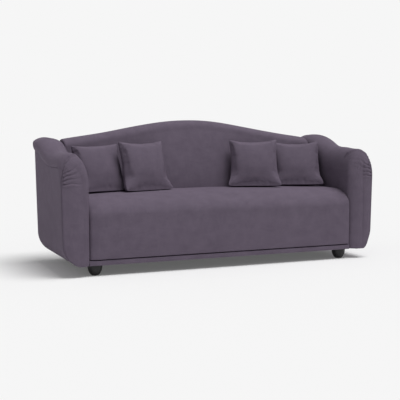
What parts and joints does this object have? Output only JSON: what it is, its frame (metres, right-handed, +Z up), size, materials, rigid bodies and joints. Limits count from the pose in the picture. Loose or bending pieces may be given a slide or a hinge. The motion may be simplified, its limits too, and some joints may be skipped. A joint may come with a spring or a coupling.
{
  "type": "camelback sofa",
  "caption": "Camelback sofa in dusty plum fabric with tight seat, arms that roll up to the back, loose scatter pillows and black half-ball feet.",
  "frame": {"origin": "on the floor, under the middle of the bounding box", "axes": "+X along the width of the sofa, the sitter faces -Y, +Z up"},
  "size_m": [2.116, 0.735, 0.904],
  "materials": {
    "upholstery_fabric": "plain fine weave, dusty plum, slight sheen",
    "seat_foam": "open-cell upholstery foam",
    "pillow_fibre": "white fibre filling in a thin case",
    "frame_timber": "planed beech, unfinished",
    "spring_steel": "bright drawn wire",
    "black_lining": "black non-woven lining",
    "webbing": "woven elastic webbing",
    "foot_lacquer": "black satin lacquer on turned wood"
  },
  "bodies": {
    "sofa": {"seat_cover": "upholstery_fabric", "seat_foam": "seat_foam", "back_cover": "upholstery_fabric", "back_foam": "seat_foam", "outside_back_panel": "upholstery_fabric", "arm_cover_right": "upholstery_fabric", "arm_cover_left": "upholstery_fabric", "arm_foam_right": "seat_foam", "arm_foam_left": "seat_foam", "outside_arm_panel_right": "upholstery_fabric", "outside_arm_panel_left": "upholstery_fabric", "base_band_front": "upholstery_fabric", "dust_cover": "black_lining", "arm_front_post_right": "frame_timber", "arm_front_post_left": "frame_timber", "arm_rear_post_right": "frame_timber", "arm_rear_post_left": "frame_timber", "arm_top_rail_right": "frame_timber", "arm_top_rail_left": "frame_timber", "arm_inner_board_right": "frame_timber", "arm_inner_board_left": "frame_timber", "side_rail_right": "frame_timber", "side_rail_left": "frame_timber", "front_rail": "frame_timber", "rear_seat_rail": "frame_timber", "seat_stretcher": "frame_timber", "corner_block_front_right": "frame_timber", "corner_block_front_left": "frame_timber", "corner_block_rear_right": "frame_timber", "corner_block_rear_left": "frame_timber", "spring_batten_front": "frame_timber", "spring_batten_rear": "frame_timber", "deck_cloth": "black_lining", "back_end_post_right": "frame_timber", "back_end_post_left": "frame_timber", "back_centre_post": "frame_timber", "camel_top_rail": "frame_timber", "seat_spring_1": "spring_steel", "seat_spring_2": "spring_steel", "seat_spring_3": "spring_steel", "seat_spring_4": "spring_steel", "seat_spring_5": "spring_steel", "back_strap_1": "webbing", "back_strap_2": "webbing", "foot_front_left": "foot_lacquer", "foot_bolt_front_left": "spring_steel", "foot_rear_left": "foot_lacquer", "foot_bolt_rear_left": "spring_steel", "foot_front_right": "foot_lacquer", "foot_bolt_front_right": "spring_steel", "foot_rear_right": "foot_lacquer", "foot_bolt_rear_right": "spring_steel"},
    "pillow_1": {"pillow_1_cover": "upholstery_fabric", "pillow_1_insert": "pillow_fibre"},
    "pillow_2": {"pillow_2_cover": "upholstery_fabric", "pillow_2_insert": "pillow_fibre"},
    "pillow_3": {"pillow_3_cover": "upholstery_fabric", "pillow_3_insert": "pillow_fibre"},
    "pillow_4": {"pillow_4_cover": "upholstery_fabric", "pillow_4_insert": "pillow_fibre"}
  },
  "joints": [
    {"name": "pillow_1_slide", "type": "slide", "parent": "sofa", "child": "pillow_1", "axis": [0, 0.299, 0.9542], "range_m": [0, 0.3]},
    {"name": "pillow_2_slide", "type": "slide", "parent": "sofa", "child": "pillow_2", "axis": [0, 0.299, 0.9542], "range_m": [0, 0.3]},
    {"name": "pillow_3_slide", "type": "slide", "parent": "sofa", "child": "pillow_3", "axis": [0, 0.299, 0.9542], "range_m": [0, 0.3]},
    {"name": "pillow_4_slide", "type": "slide", "parent": "sofa", "child": "pillow_4", "axis": [0, 0.299, 0.9542], "range_m": [0, 0.3]}
  ]
}
